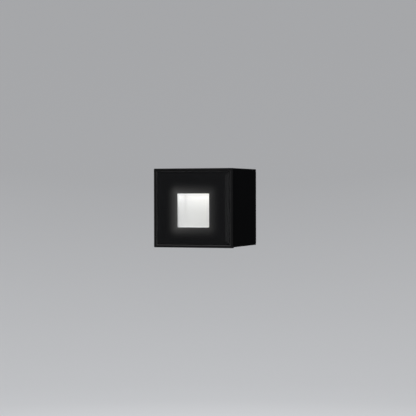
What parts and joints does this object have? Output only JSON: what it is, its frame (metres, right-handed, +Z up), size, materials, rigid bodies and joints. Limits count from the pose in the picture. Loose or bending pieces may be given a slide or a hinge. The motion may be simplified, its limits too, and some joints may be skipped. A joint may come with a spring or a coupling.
{
  "type": "outdoor wall light",
  "caption": "Box-shaped outdoor wall light: black cast housing, black bevelled glass front and a small square light window; the head slides off its wall plate.",
  "frame": {"origin": "centre of the wall gasket's face that lies on the wall", "axes": "+Y into the wall, +X to the right of someone facing the light, +Z up"},
  "size_m": [0.106, 0.1, 0.1],
  "materials": {
    "black_coat": "black powder coat, fine texture",
    "black_glass": "toughened glass, printed black on its back round a clear window",
    "lit_opal": "opal, satin",
    "white_plastic": "white, matt",
    "grey_plastic": "light grey, fine spark texture",
    "dark_plastic": "black, moulded",
    "circuit_board_white": "metal-core board with white solder mask",
    "circuit_board_green": "green solder mask",
    "led_phosphor": "yellow phosphor",
    "thermal_pad": "soft silicone sheet",
    "rubber": "black silicone, matt",
    "gasket_foam": "closed-cell foam",
    "zinc_steel": "zinc plated",
    "screw_steel": "stainless",
    "set_screw_steel": "blackened stainless",
    "brass": "plain",
    "tinned_copper": "tinned",
    "brown_insulation": "silicone insulation",
    "blue_insulation": "silicone insulation",
    "earth_insulation": "green with a yellow stripe",
    "red_insulation": "silicone insulation",
    "black_insulation": "silicone insulation"
  },
  "bodies": {
    "wall_set": {"wall_gasket": "gasket_foam", "wall_plate": "zinc_steel", "cable_grommet": "rubber", "terminal_block": "white_plastic", "terminal_inserts": "brass", "terminal_clamp_screws": "screw_steel", "terminal_block_screws": "screw_steel", "supply_socket": "dark_plastic", "supply_socket_screws": "screw_steel", "plate_earth_screw": "brass", "plate_earth_washer": "screw_steel", "plate_earth_ring": "tinned_copper", "plate_earth_lead": "earth_insulation", "live_lead": "brown_insulation", "neutral_lead": "blue_insulation", "earth_lead": "earth_insulation"},
    "lamp_head": {"housing": "black_coat", "set_screws": "set_screw_steel", "frame_gasket": "rubber", "front_frame": "black_coat", "frame_screws": "screw_steel", "glass_seal": "rubber", "front_glass": "black_glass", "diffuser": "lit_opal", "reflector": "white_plastic", "led_board": "circuit_board_white", "led_chips": "led_phosphor", "led_connector": "white_plastic", "thermal_pad": "thermal_pad", "light_engine_screws": "screw_steel", "driver_case": "grey_plastic", "driver_lid": "grey_plastic", "driver_board": "circuit_board_green", "driver_screws": "screw_steel", "supply_plug": "dark_plastic", "plug_pins": "brass", "supply_plug_screws": "screw_steel", "head_earth_screw": "brass", "head_earth_ring": "tinned_copper", "head_earth_lead": "earth_insulation", "driver_live_lead": "brown_insulation", "driver_neutral_lead": "blue_insulation", "led_plus_lead": "red_insulation", "led_minus_lead": "black_insulation", "lead_grommet": "rubber"}
  },
  "joints": [
    {"name": "head_slide", "type": "slide", "parent": "wall_set", "child": "lamp_head", "axis": [0, -1, 0], "range_m": [0, 0.08]}
  ]
}
